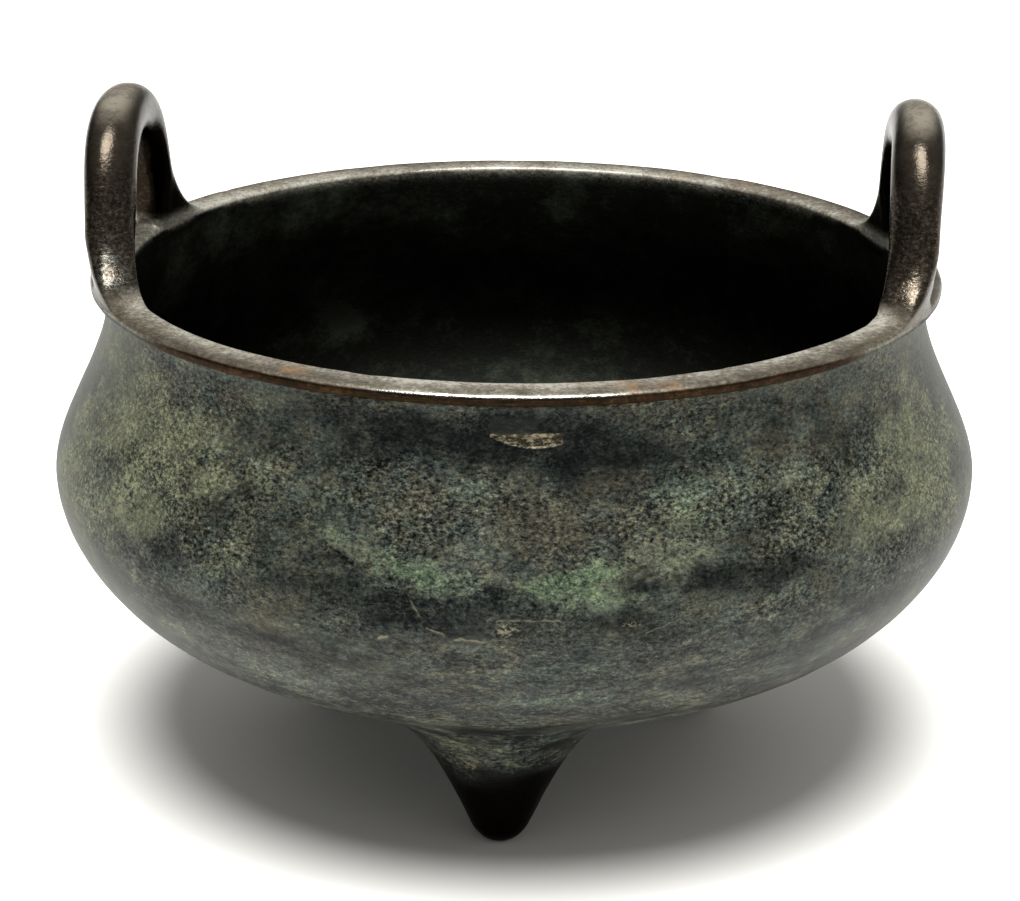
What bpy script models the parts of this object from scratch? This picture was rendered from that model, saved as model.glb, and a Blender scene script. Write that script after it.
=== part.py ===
# Tripod incense burner: one bronze casting, a hollow bulging bowl with a lip,
# two upright loop handles standing on the lip and three conical feet.
# Metres, +Z up, the floor at Z = 0 and the bowl's axis on Z. The handles stand
# at +X and -X, and one foot points along -Y.

import math

import bmesh
import bpy
from mathutils import Matrix, Vector
from mathutils.geometry import interpolate_bezier

# Bowl, measured on its outer side. The wall is the same all over.
BELLY_RADIUS = 0.0801
BELLY_HEIGHT = 0.0568
NECK_RADIUS = 0.0703
NECK_EASE = 0.0113
SHOULDER_EASE = 0.0083
BASE_RADIUS = 0.0380
BASE_HEIGHT = 0.0245
BELLY_DROP = 0.0170
BASE_EASE = 0.0225
WALL = 0.0038

# Lip: a flat rim that stands proud of the neck, with soft arrises.
RIM_HEIGHT = 0.0910
LIP_OVERHANG = 0.0027
LIP_THICKNESS = 0.0021
LIP_TOP_ARRIS = 0.0009
LIP_INNER_ARRIS = 0.0008
LIP_LOWER_ARRIS = 0.0005
LIP_FILLET = 0.0017

# Loop handles: a bar that rises from the lip, turns over and comes down again.
# The two were shaped by hand, so their openings and places differ a little.
LEFT_OPENING = 0.0340
RIGHT_OPENING = 0.0322
LEFT_AZIMUTH = math.radians(180.0)
RIGHT_AZIMUTH = math.radians(-0.8)
LEFT_LEAN = 0.0001
RIGHT_LEAN = 0.0005
HANDLE_RISE = 0.0293
HANDLE_ROOT_SPREAD = 0.0225
HANDLE_ROOT_PULL = 0.0240
HANDLE_CROWN_SPREAD = 0.0135
HANDLE_BAR_WIDTH = 0.0082
HANDLE_CROWN_WIDTH = 0.0091
HANDLE_BAR_DEPTH = 0.0091
HANDLE_BOW = 0.0013
HANDLE_ROOT_PROUD = 0.0003
HOLE_ROUNDNESS = 0.70
HOLE_SHOULDER = 0.0045
BAR_SQUARENESS = 2.1
ROOT_SQUARENESS = 4.0

# Feet: blunt cones that swell into the underside.
FOOT_COUNT = 3
FOOT_CIRCLE = 0.0380
FOOT_TIP_RADIUS = 0.0056
FOOT_PAD_RADIUS = 0.0018
FOOT_FLARE_ANGLE = math.radians(24.0)
FOOT_FILLET = 0.0165
FOOT_SPREAD = 0.0250
FOOT_FEATHER = 0.0050

# How finely the round forms are faceted, and how deep joined forms overlap.
TURN_STEPS = 60
SHOULDER_POINTS = 8
UNDERSIDE_POINTS = 11
ARRIS_STEPS = 2
FILLET_STEPS = 3
HANDLE_STATIONS = 14
BAR_STEPS = 14
FOOT_STEPS = 20
TIP_RINGS = 3
SKIRT_RINGS = 8
CAP_RINGS = 2
BURY = 0.0004

BRONZE_COLOUR = (0.070, 0.068, 0.052, 1.0)
BRONZE_ROUGHNESS = 0.42
BRONZE_METALLIC = 0.85


def arc(centre, radius, start, end, steps):
    """Points on an arc in the profile's plane, with angles in degrees."""
    points = []
    for step in range(steps + 1):
        angle = math.radians(start + (end - start) * step / steps)
        points.append((centre[0] + radius * math.cos(angle), centre[1] + radius * math.sin(angle)))
    return points


def curve(start, start_pull, end_pull, end, count):
    """Points on a cubic curve, with both ends."""
    knots = [Vector(point).to_3d() for point in (start, start_pull, end_pull, end)]
    return [(point.x, point.y) for point in interpolate_bezier(*knots, count)]


def neck_top():
    """Height where the fillet under the lip meets the neck."""
    return RIM_HEIGHT - LIP_THICKNESS - LIP_FILLET


def lip_edges():
    """Inner and outer radius of the rim."""
    return NECK_RADIUS - WALL, NECK_RADIUS + LIP_OVERHANG


def outer_shell():
    """Outer profile from the top of the neck down to the flat of the base."""
    top = neck_top()
    shoulder = curve(
        (NECK_RADIUS, top),
        (NECK_RADIUS, top - NECK_EASE),
        (BELLY_RADIUS, BELLY_HEIGHT + SHOULDER_EASE),
        (BELLY_RADIUS, BELLY_HEIGHT),
        SHOULDER_POINTS,
    )
    underside = curve(
        (BELLY_RADIUS, BELLY_HEIGHT),
        (BELLY_RADIUS, BELLY_HEIGHT - BELLY_DROP),
        (BASE_RADIUS + BASE_EASE, BASE_HEIGHT),
        (BASE_RADIUS, BASE_HEIGHT),
        UNDERSIDE_POINTS,
    )
    return shoulder + underside[1:]


def inset(points, distance):
    """The same profile moved square to itself, towards the inside of the bowl."""
    moved = []
    last = len(points) - 1
    for index, point in enumerate(points):
        before = Vector(points[max(index - 1, 0)])
        after = Vector(points[min(index + 1, last)])
        along = (after - before).normalized()
        moved.append((point[0] + along.y * distance, point[1] - along.x * distance))
    return moved


def lip_outline():
    """Lip from its inner arris, over the flat rim and down to the neck."""
    mouth, edge = lip_edges()
    under = RIM_HEIGHT - LIP_THICKNESS
    corners = [
        (mouth + LIP_INNER_ARRIS, RIM_HEIGHT - LIP_INNER_ARRIS, LIP_INNER_ARRIS, 180, 90),
        (edge - LIP_TOP_ARRIS, RIM_HEIGHT - LIP_TOP_ARRIS, LIP_TOP_ARRIS, 90, 0),
        (edge - LIP_LOWER_ARRIS, under + LIP_LOWER_ARRIS, LIP_LOWER_ARRIS, 0, -90),
    ]
    outline = []
    for across, height, radius, start, end in corners:
        outline += arc((across, height), radius, start, end, ARRIS_STEPS)
    hollow = arc(
        (NECK_RADIUS + LIP_FILLET, under - LIP_FILLET), LIP_FILLET, 90, 180, FILLET_STEPS
    )
    # The last point of the fillet is the first of the shell.
    return outline + hollow[:-1]


def belly_height(radius):
    """Height of the outer skin of the underside at a distance from the axis."""
    skin = [point for point in outer_shell() if point[1] <= BELLY_HEIGHT]
    if radius <= skin[-1][0]:
        return skin[-1][1]
    for outer, inner in zip(skin, skin[1:]):
        if radius >= inner[0]:
            share = (radius - inner[0]) / (outer[0] - inner[0])
            return inner[1] + share * (outer[1] - inner[1])
    return BELLY_HEIGHT


def new_object(name, mesh):
    item = bpy.data.objects.new(name, mesh)
    bpy.context.scene.collection.objects.link(item)
    return item


def helper(item):
    """Marks a form that is only fused into the casting."""
    item.hide_render = True
    item.display_type = "WIRE"
    return item


def make_bowl():
    """Half profile of the bowl, turned round Z by a Screw modifier."""
    shell = outer_shell()
    lining = inset(shell, WALL)
    floor = (0.0, BASE_HEIGHT + WALL)
    # Down the outer side, across the base, and up the lining to the mouth.
    outside = lip_outline() + shell + [(0.0, BASE_HEIGHT)]
    profile = outside + [floor] + lining[:0:-1]
    mesh = bpy.data.meshes.new("bowl_profile")
    work = bmesh.new()
    points = [work.verts.new((radius, 0.0, height)) for radius, height in profile]
    for index, point in enumerate(points):
        # No edge runs up the axis.
        if index != len(outside) - 1:
            work.edges.new((point, points[(index + 1) % len(points)]))
    work.to_mesh(mesh)
    work.free()
    bowl = new_object("tripod_censer", mesh)
    turn = bowl.modifiers.new("turn", "SCREW")
    turn.axis = "Z"
    turn.steps = TURN_STEPS
    turn.render_steps = TURN_STEPS
    turn.use_smooth_shade = True
    turn.use_merge_vertices = True
    turn.merge_threshold = 0.00001
    return bowl


def handle_outlines(half_opening):
    """Half of the loop seen square on, from the crown down to its root in the lip:
    pairs of points on its outer and inner outline, as (run along the rim, height)."""
    crown = RIM_HEIGHT + HANDLE_RISE
    reach = half_opening + HANDLE_ROOT_SPREAD
    outer = curve(
        (0.0, crown),
        (half_opening + HANDLE_CROWN_SPREAD, crown),
        (reach - HANDLE_ROOT_PULL, RIM_HEIGHT - BURY),
        (reach, RIM_HEIGHT - BURY),
        HANDLE_STATIONS,
    )
    hole_top = crown - HANDLE_BAR_DEPTH
    inner = curve(
        (0.0, hole_top),
        (half_opening * HOLE_ROUNDNESS, hole_top),
        (half_opening, hole_top - HOLE_SHOULDER),
        (half_opening, RIM_HEIGHT - LIP_THICKNESS + BURY),
        HANDLE_STATIONS,
    )
    return list(zip(outer, inner))


def rim_place(run, offset, centre, leg):
    """Plan position at a run along the rim: on the rim's circle outside the legs, and
    from one leg to the other in a flatter bow."""
    angle = run / centre
    outward = Vector((math.cos(angle), math.sin(angle), 0.0))
    place = outward * centre
    if abs(run) < leg:
        share = run / leg
        place.x = centre * math.cos(leg / centre) + HANDLE_BOW * (1 - share * share)
    return place + outward * offset


def rounded(turn, squareness):
    """A point on a rounded square: 2 gives a circle, more gives squarer corners."""
    power = 2 / squareness
    across = math.copysign(abs(math.cos(turn)) ** power, math.cos(turn))
    along = math.copysign(abs(math.sin(turn)) ** power, math.sin(turn))
    return across, along


def make_handle(name, opening, azimuth, lean):
    """A bar swept over its loop, round at the crown and spread along the lip below."""
    mouth, edge = lip_edges()
    centre = (mouth + edge) / 2
    root_width = edge - mouth + HANDLE_ROOT_PROUD
    leg = (opening + HANDLE_BAR_DEPTH) / 2
    half = handle_outlines(opening / 2)
    pairs = [(outer, inner, 1) for outer, inner in half[::-1]]
    pairs += [(outer, inner, -1) for outer, inner in half[1:]]
    work = bmesh.new()
    rings = []
    for outer, inner, side in pairs:
        middle_height = (outer[1] + inner[1]) / 2
        rise = (middle_height - RIM_HEIGHT) / HANDLE_BAR_DEPTH
        rise = min(max(rise, 0.0), 1.0)
        width = root_width + (HANDLE_BAR_WIDTH - root_width) * rise
        swell = (middle_height - RIM_HEIGHT - HANDLE_BAR_DEPTH) / (
            HANDLE_RISE - 1.5 * HANDLE_BAR_DEPTH
        )
        width += (HANDLE_CROWN_WIDTH - HANDLE_BAR_WIDTH) * max(swell, 0.0)
        squareness = ROOT_SQUARENESS + (BAR_SQUARENESS - ROOT_SQUARENESS) * rise
        ring = []
        for step in range(BAR_STEPS):
            across, along = rounded(2 * math.pi * (step + 0.5) / BAR_STEPS, squareness)
            share = (1 + along) / 2
            run = side * (inner[0] + (outer[0] - inner[0]) * share)
            place = rim_place(run, across * width / 2, centre, leg)
            place.z = inner[1] + (outer[1] - inner[1]) * share
            place.x -= lean * max(place.z - RIM_HEIGHT, 0.0) / HANDLE_RISE
            ring.append(work.verts.new(place))
        rings.append(ring)
    for ring, following in zip(rings, rings[1:]):
        for step in range(BAR_STEPS):
            after = (step + 1) % BAR_STEPS
            work.faces.new((ring[step], ring[after], following[after], following[step]))
    work.faces.new(rings[0][::-1])
    work.faces.new(rings[-1])
    bmesh.ops.recalc_face_normals(work, faces=work.faces)
    mesh = bpy.data.meshes.new(name)
    work.to_mesh(mesh)
    work.free()
    mesh.transform(Matrix.Rotation(azimuth, 4, "Z"))
    return helper(new_object(name, mesh))


def foot_height(distance):
    """Height of the bare cone with its round tip, at a distance from its axis."""
    tip = FOOT_TIP_RADIUS
    cut = tip - math.sqrt(tip * tip - FOOT_PAD_RADIUS * FOOT_PAD_RADIUS)
    tangent = tip * math.cos(FOOT_FLARE_ANGLE)
    if distance <= FOOT_PAD_RADIUS:
        return 0.0
    if distance <= tangent:
        return tip - math.sqrt(tip * tip - distance * distance) - cut
    start = tip * (1 - math.sin(FOOT_FLARE_ANGLE)) - cut
    return start + (distance - tangent) / math.tan(FOOT_FLARE_ANGLE)


def blend_low(first, second, reach):
    """The lower of two heights, with the corner between them filled."""
    gap = max(reach - abs(first - second), 0.0) / reach
    return min(first, second) - gap * gap * reach / 4


def make_foot(name, azimuth):
    """A cone under the belly, closed above inside the wall."""
    tangent = FOOT_TIP_RADIUS * math.cos(FOOT_FLARE_ANGLE)
    distances = []
    for step in range(TIP_RINGS + 1):
        distances.append(FOOT_PAD_RADIUS + (tangent - FOOT_PAD_RADIUS) * step / TIP_RINGS)
    for step in range(1, SKIRT_RINGS + 1):
        distances.append(tangent + (FOOT_SPREAD - tangent) * step / SKIRT_RINGS)
    axis = Vector((FOOT_CIRCLE * math.cos(azimuth), FOOT_CIRCLE * math.sin(azimuth), 0.0))
    work = bmesh.new()

    def ring_at(distance, height_of):
        ring = []
        for step in range(FOOT_STEPS):
            turn = azimuth + 2 * math.pi * step / FOOT_STEPS
            place = axis + Vector((math.cos(turn), math.sin(turn), 0.0)) * distance
            place.z = height_of(distance, belly_height(place.xy.length))
            ring.append(work.verts.new(place))
        return ring

    def skin(distance, belly):
        if distance <= tangent:
            return foot_height(distance)
        edge = max((distance - FOOT_SPREAD) / FOOT_FEATHER + 1, 0.0)
        return blend_low(foot_height(distance), belly, FOOT_FILLET) + WALL / 3 * edge

    def buried(distance, belly):
        return belly + WALL / 2

    rings = [ring_at(distance, skin) for distance in distances]
    for step in range(CAP_RINGS, 0, -1):
        rings.append(ring_at(FOOT_SPREAD * step / (CAP_RINGS + 1), buried))
    work.faces.new(rings[0])
    for ring, following in zip(rings, rings[1:]):
        for step in range(FOOT_STEPS):
            after = (step + 1) % FOOT_STEPS
            work.faces.new((ring[step], following[step], following[after], ring[after]))
    work.faces.new(rings[-1])
    bmesh.ops.recalc_face_normals(work, faces=work.faces)
    mesh = bpy.data.meshes.new(name)
    work.to_mesh(mesh)
    work.free()
    return helper(new_object(name, mesh))


def fuse(casting, pieces):
    """One union with all the pieces, so that no cut is made on the seam of another."""
    forms = bpy.data.collections.new("fused forms")
    bpy.context.scene.collection.children.link(forms)
    for piece in pieces:
        bpy.context.scene.collection.objects.unlink(piece)
        forms.objects.link(piece)
    union = casting.modifiers.new("fuse", "BOOLEAN")
    union.operation = "UNION"
    union.solver = "EXACT"
    union.operand_type = "COLLECTION"
    union.collection = forms


def bronze():
    material = bpy.data.materials.new("patinated bronze")
    material.use_nodes = True
    shader = material.node_tree.nodes["Principled BSDF"]
    shader.inputs["Base Color"].default_value = BRONZE_COLOUR
    shader.inputs["Roughness"].default_value = BRONZE_ROUGHNESS
    shader.inputs["Metallic"].default_value = BRONZE_METALLIC
    return material


def main():
    for item in list(bpy.data.objects):
        bpy.data.objects.remove(item, do_unlink=True)
    casting = make_bowl()
    feet = []
    for number in range(FOOT_COUNT):
        azimuth = -math.pi / 2 + 2 * math.pi * number / FOOT_COUNT
        feet.append(make_foot(f"foot_form_{number + 1}", azimuth))
    handles = [
        make_handle("left_loop_form", LEFT_OPENING, LEFT_AZIMUTH, LEFT_LEAN),
        make_handle("right_loop_form", RIGHT_OPENING, RIGHT_AZIMUTH, RIGHT_LEAN),
    ]
    fuse(casting, feet + handles)
    casting.data.materials.append(bronze())


main()
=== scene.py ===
# Tripod incense burner: one dark bronze casting on a pale table, in soft studio light.
# Metres, +Z up. The handles stand at +X and -X, and one foot points along -Y.
import math
import random

import bpy
import numpy as np
from mathutils import Matrix, Vector, noise
from mathutils.geometry import interpolate_bezier


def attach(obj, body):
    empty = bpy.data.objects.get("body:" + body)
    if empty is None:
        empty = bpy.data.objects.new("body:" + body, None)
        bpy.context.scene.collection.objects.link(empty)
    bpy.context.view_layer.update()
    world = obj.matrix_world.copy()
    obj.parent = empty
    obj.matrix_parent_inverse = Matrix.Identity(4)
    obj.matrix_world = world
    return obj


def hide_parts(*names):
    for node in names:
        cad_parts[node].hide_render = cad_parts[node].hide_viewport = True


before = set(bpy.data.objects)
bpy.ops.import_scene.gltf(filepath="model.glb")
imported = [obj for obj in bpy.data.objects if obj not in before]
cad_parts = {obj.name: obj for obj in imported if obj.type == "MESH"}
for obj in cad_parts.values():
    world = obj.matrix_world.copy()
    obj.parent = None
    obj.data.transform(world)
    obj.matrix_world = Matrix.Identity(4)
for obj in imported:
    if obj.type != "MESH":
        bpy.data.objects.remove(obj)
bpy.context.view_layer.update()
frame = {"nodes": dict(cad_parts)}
print("frame loaded:", ", ".join(frame["nodes"]))


# Small helpers for edit mode and for outlines

def objectMode():
    if bpy.context.mode != "OBJECT":
        bpy.ops.object.mode_set(mode="OBJECT")


def selectAll():
    bpy.ops.mesh.select_all(action="SELECT")


def clearSelection():
    bpy.ops.object.select_all(action="DESELECT")


def pickOnly(item):
    objectMode()
    clearSelection()
    item.select_set(True)
    bpy.context.view_layer.objects.active = item


def editOnly(item, selectMode="FACE"):
    pickOnly(item)
    bpy.ops.object.mode_set(mode="EDIT")
    bpy.ops.mesh.select_mode(type=selectMode)
    bpy.ops.mesh.select_all(action="DESELECT")


def selectFaces(item, wanted):
    # wanted(centre, normal) says which faces are taken
    editOnly(item)
    bpy.ops.object.mode_set(mode="OBJECT")
    for face in item.data.polygons:
        face.select = wanted(face.center, face.normal)
    bpy.ops.object.mode_set(mode="EDIT")


def settle(item):
    # faces point outwards, and the object lies at the origin, unturned and unscaled
    editOnly(item)
    selectAll()
    bpy.ops.mesh.normals_make_consistent(inside=False)
    pickOnly(item)
    bpy.ops.object.transform_apply(location=True, rotation=True, scale=True)


def refineFaces(item, wanted):
    selectFaces(item, wanted)
    bpy.ops.mesh.subdivide(number_cuts=1)
    objectMode()


def applyModifier(item, modifier):
    pickOnly(item)
    bpy.ops.object.modifier_apply(modifier=modifier.name)


def curvePoints(start, startPull, endPull, end, count):
    knots = [Vector(point).to_3d() for point in (start, startPull, endPull, end)]
    return [(point.x, point.y) for point in interpolate_bezier(*knots, count)]


def arcPoints(centre, radius, start, end, steps):
    points = []
    for step in range(steps + 1):
        angle = math.radians(start + (end - start) * step / steps)
        points.append((centre[0] + radius * math.cos(angle), centre[1] + radius * math.sin(angle)))
    return points


def smoothStep(low, high, value):
    share = np.clip((value - low) / (high - low), 0.0, 1.0)
    return share * share * (3 - 2 * share)


# Bowl: the sizes of the casting, then how finely it is turned
bowl = {
    "bellyRadius": 0.0801, "bellyHeight": 0.0568,
    "neckRadius": 0.0703, "neckEase": 0.0113, "shoulderEase": 0.0083,
    "baseRadius": 0.038, "baseHeight": 0.0245, "bellyDrop": 0.017, "baseEase": 0.0225,
    "wall": 0.0038,
    "rimHeight": 0.091, "lipOverhang": 0.0027, "lipThickness": 0.0021,
    "topArris": 0.0012, "innerArris": 0.0008, "lowerArris": 0.0005, "lipFillet": 0.0017,
    "turnSteps": 200,
    "shoulderPoints": 30, "undersidePoints": 58, "liningPoints": 26,
    "rimRings": 5,         # strips across the flat of the rim
    "innerSteps": 4, "topSteps": 6, "lowerSteps": 3, "filletSteps": 5,
    "baseRings": 20, "baseRingsEnd": 0.011,    # close rings under the feet, down to this radius
    "baseCentre": [0.007, 0.003, 0.0], "floorRings": [0.0, 0.01, 0.02, 0.03],
    "seedSize": 0.001, "mergeDistance": 0.00001, "smoothAngle": math.radians(50),
}
bowl["mouth"] = bowl["neckRadius"] - bowl["wall"]
bowl["edge"] = bowl["neckRadius"] + bowl["lipOverhang"]
bowl["lipUnder"] = bowl["rimHeight"] - bowl["lipThickness"]
bowl["neckTop"] = bowl["lipUnder"] - bowl["lipFillet"]


def shellOutline(shoulderCount, undersideCount):
    b = bowl
    shoulder = curvePoints(
        (b["neckRadius"], b["neckTop"]), (b["neckRadius"], b["neckTop"] - b["neckEase"]),
        (b["bellyRadius"], b["bellyHeight"] + b["shoulderEase"]),
        (b["bellyRadius"], b["bellyHeight"]), shoulderCount)
    underside = curvePoints(
        (b["bellyRadius"], b["bellyHeight"]),
        (b["bellyRadius"], b["bellyHeight"] - b["bellyDrop"]),
        (b["baseRadius"] + b["baseEase"], b["baseHeight"]),
        (b["baseRadius"], b["baseHeight"]), undersideCount)
    return shoulder + underside[1:]


def insetOutline(points, distance):
    moved = []
    for index, point in enumerate(points):
        before = Vector(points[max(index - 1, 0)])
        after = Vector(points[min(index + 1, len(points) - 1)])
        along = (after - before).normalized()
        moved.append((point[0] + along.y * distance, point[1] - along.x * distance))
    return moved


def lipOutline():
    # from the inner arris over the flat rim and round the edge to the neck
    b = bowl
    inner = arcPoints((b["mouth"] + b["innerArris"], b["rimHeight"] - b["innerArris"]),
                      b["innerArris"], 180, 90, b["innerSteps"])
    start, end = inner[-1][0], b["edge"] - b["topArris"]
    flat = [(start + (end - start) * ring / b["rimRings"], b["rimHeight"])
            for ring in range(1, b["rimRings"])]
    outer = arcPoints((end, b["rimHeight"] - b["topArris"]), b["topArris"], 90, 0, b["topSteps"])
    lower = arcPoints((b["edge"] - b["lowerArris"], b["lipUnder"] + b["lowerArris"]),
                      b["lowerArris"], 0, -90, b["lowerSteps"])
    hollow = arcPoints((b["neckRadius"] + b["lipFillet"], b["lipUnder"] - b["lipFillet"]),
                       b["lipFillet"], 90, 180, b["filletSteps"])
    return inner + flat + outer + lower + hollow[:-1]


def baseFlat():
    # rings across the flat of the base, close together where the feet grow
    b = bowl
    rings = [b["baseRadius"] + (b["baseRingsEnd"] - b["baseRadius"]) * ring / b["baseRings"]
             for ring in range(1, b["baseRings"] + 1)]
    return [(radius, b["baseHeight"]) for radius in rings + b["baseCentre"]]


def turnOutline(name, points, steps):
    # the outline is drawn point by point from one merged plane, then spun round Z
    clearSelection()
    bpy.ops.mesh.primitive_plane_add(size=bowl["seedSize"], location=(points[0][0], 0, points[0][1]))
    item = bpy.context.object
    item.name = name
    editOnly(item, "VERT")
    selectAll()
    bpy.ops.mesh.merge(type="CENTER")
    for before, after in zip(points, points[1:]):
        step = (after[0] - before[0], 0, after[1] - before[1])
        bpy.ops.mesh.extrude_vertices_move(TRANSFORM_OT_translate={"value": step})
    selectAll()
    bpy.ops.mesh.spin(steps=steps, angle=2 * math.pi, center=(0, 0, 0), axis=(0, 0, 1))
    selectAll()
    bpy.ops.mesh.remove_doubles(threshold=bowl["mergeDistance"])
    settle(item)
    return item


def makeBowl():
    b = bowl
    shell = shellOutline(b["shoulderPoints"], b["undersidePoints"])
    lining = insetOutline(shellOutline(b["liningPoints"] // 2, b["liningPoints"] // 2), b["wall"])
    floorHeight = b["baseHeight"] + b["wall"]
    floor = [(radius, floorHeight) for radius in b["floorRings"]]
    outline = floor + lining[::-1] + lipOutline() + shell + baseFlat()
    return turnOutline("censer", outline, b["turnSteps"])


# Feet: blunt cones drawn down out of the underside
feet = {
    "count": 3, "circle": 0.038,
    "tipRadius": 0.0056, "padRadius": 0.0018, "flare": math.radians(24.0),
    "fillet": 0.0165, "spread": 0.025,
    "fineSpread": 0.015,  # closer mesh inside this distance from a foot's axis
    "spreadSlack": 1.05,   # a little more, so that no vertex at the edge is missed
    "throughWall": 0.6,    # a face above this share of the wall belongs to the lining
}


def footPlaces():
    turns = [-math.pi / 2 + 2 * math.pi * number / feet["count"] for number in range(feet["count"])]
    return [Vector((math.cos(turn), math.sin(turn), 0)) * feet["circle"] for turn in turns]


def footHeight(distance):
    tip, pad = feet["tipRadius"], feet["padRadius"]
    cut = tip - math.sqrt(tip * tip - pad * pad)
    tangent = tip * math.cos(feet["flare"])
    if distance <= pad:
        return 0.0
    if distance <= tangent:
        return tip - math.sqrt(tip * tip - distance * distance) - cut
    start = tip * (1 - math.sin(feet["flare"])) - cut
    return start + (distance - tangent) / math.tan(feet["flare"])


def blendLow(first, second, reach):
    gap = max(reach - abs(first - second), 0.0) / reach
    return min(first, second) - gap * gap * reach / 4


def pullFeet(item):
    # the underside is subdivided round each foot and then drawn down to the table
    places = footPlaces()

    def nearFoot(reach):
        def wanted(centre, normal):
            if centre.z > bowl["bellyHeight"] or normal.z > 0:
                return False
            return any((centre.xy - place.xy).length < reach for place in places)
        return wanted

    for reach in (feet["spread"], feet["fineSpread"]):
        refineFaces(item, nearFoot(reach))
    drop = bowl["baseHeight"]
    group = item.vertex_groups.new(name="feet")
    lining = bowl["baseHeight"] + feet["throughWall"] * bowl["wall"]
    for vertex in item.data.vertices:
        place = min(places, key=lambda foot: (vertex.co.xy - foot.xy).length)
        distance = (vertex.co.xy - place.xy).length
        if distance > feet["spread"] * feet["spreadSlack"] or vertex.co.z > bowl["bellyHeight"]:
            continue
        if vertex.normal.z > 0 and vertex.co.z > lining:
            continue
        height = footHeight(distance)
        if distance > feet["tipRadius"] * math.cos(feet["flare"]):
            height = blendLow(height, vertex.co.z, feet["fillet"])
        group.add([vertex.index], (vertex.co.z - height) / drop, "REPLACE")
    pull = item.modifiers.new("draw down the feet", "DISPLACE")
    pull.direction = "Z"
    pull.mid_level = 0.0
    pull.strength = -drop
    pull.vertex_group = group.name
    applyModifier(item, pull)
    item.vertex_groups.clear()


# Loop handles: a bar that spreads along the lip at its roots
handles = {
    "left": {"opening": 0.034, "azimuth": math.radians(180.0), "lean": 0.0001},
    "right": {"opening": 0.0322, "azimuth": math.radians(-0.8), "lean": 0.0005},
    "rise": 0.0293, "rootSpread": 0.0225, "rootPull": 0.024, "crownSpread": 0.0135,
    "barWidth": 0.0086, "crownWidth": 0.0091, "barDepth": 0.0091,
    "bow": 0.0013, "rootProud": 0.0001,
    "holeRoundness": 0.7, "holeShoulder": 0.0045,
    "barSquareness": 2.1, "rootSquareness": 4.0, "bury": 0.0004,
    "stations": 44, "barSteps": 40, "slice": 0.001,
    # the rounded corner at the lip: its reach, full within this share of it, strength, passes
    "seamReach": 0.0045, "seamFull": 0.3, "seamFactor": 0.5, "seamPasses": 18,
}


def handleOutlines(halfOpening):
    # half of the loop seen square on, from the crown to its root: outer and inner points
    h, rim = handles, bowl["rimHeight"]
    crown, reach = rim + h["rise"], halfOpening + h["rootSpread"]
    outer = curvePoints((0.0, crown), (halfOpening + h["crownSpread"], crown),
                        (reach - h["rootPull"], rim - h["bury"]), (reach, rim - h["bury"]),
                        h["stations"])
    holeTop = crown - h["barDepth"]
    inner = curvePoints((0.0, holeTop), (halfOpening * h["holeRoundness"], holeTop),
                        (halfOpening, holeTop - h["holeShoulder"]),
                        (halfOpening, bowl["lipUnder"] + h["bury"]), h["stations"])
    return list(zip(outer, inner))


def rimPlace(run, offset, centre, leg):
    # on the rim's circle outside the legs, and in a flatter bow between them
    angle = run / centre
    outward = Vector((math.cos(angle), math.sin(angle), 0.0))
    place = outward * centre
    if abs(run) < leg:
        share = run / leg
        place.x = centre * math.cos(leg / centre) + handles["bow"] * (1 - share * share)
    return place + outward * offset


def roundedSquare(turn, squareness):
    power = 2 / squareness
    across = math.copysign(abs(math.cos(turn)) ** power, math.cos(turn))
    along = math.copysign(abs(math.sin(turn)) ** power, math.sin(turn))
    return across, along


def makeHandle(name):
    # a ring is extruded into a straight bar, whose rings are then set on the loop's stations
    h, opening, azimuth = handles, handles[name]["opening"], handles[name]["azimuth"]
    half = handleOutlines(opening / 2)
    stations = [(outer, inner, 1) for outer, inner in half[::-1]]
    stations += [(outer, inner, -1) for outer, inner in half[1:]]
    steps, lift = h["barSteps"], h["slice"]
    clearSelection()
    bpy.ops.mesh.primitive_circle_add(vertices=steps, radius=h["barWidth"] / 2, fill_type="NGON")
    item = bpy.context.object
    item.name = name + "Handle"
    editOnly(item)
    selectAll()
    for station in stations[1:]:
        bpy.ops.mesh.extrude_region_move(TRANSFORM_OT_translate={"value": (0, 0, lift)})
    objectMode()
    centre = (bowl["mouth"] + bowl["edge"]) / 2
    rootWidth = bowl["edge"] - bowl["mouth"] + 2 * h["rootProud"]
    leg = (opening + h["barDepth"]) / 2
    turned = Matrix.Rotation(azimuth, 4, "Z")
    for vertex in item.data.vertices:
        outer, inner, side = stations[round(vertex.co.z / lift)]
        middle = (outer[1] + inner[1]) / 2 - bowl["rimHeight"]
        rise = min(max(middle / h["barDepth"], 0.0), 1.0)
        swell = max((middle - h["barDepth"]) / (h["rise"] - 1.5 * h["barDepth"]), 0.0)
        width = rootWidth + (h["barWidth"] - rootWidth) * rise
        width += (h["crownWidth"] - h["barWidth"]) * swell
        squareness = h["rootSquareness"] + (h["barSquareness"] - h["rootSquareness"]) * rise
        turn = math.atan2(vertex.co.y, vertex.co.x) + math.pi / steps
        across, along = roundedSquare(turn, squareness)
        share = (1 + along) / 2
        run = side * (inner[0] + (outer[0] - inner[0]) * share)
        place = rimPlace(run, across * width / 2, centre, leg)
        place.z = inner[1] + (outer[1] - inner[1]) * share
        place.x -= handles[name]["lean"] * max(place.z - bowl["rimHeight"], 0.0) / h["rise"]
        vertex.co = turned @ place
    settle(item)
    return item


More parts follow.
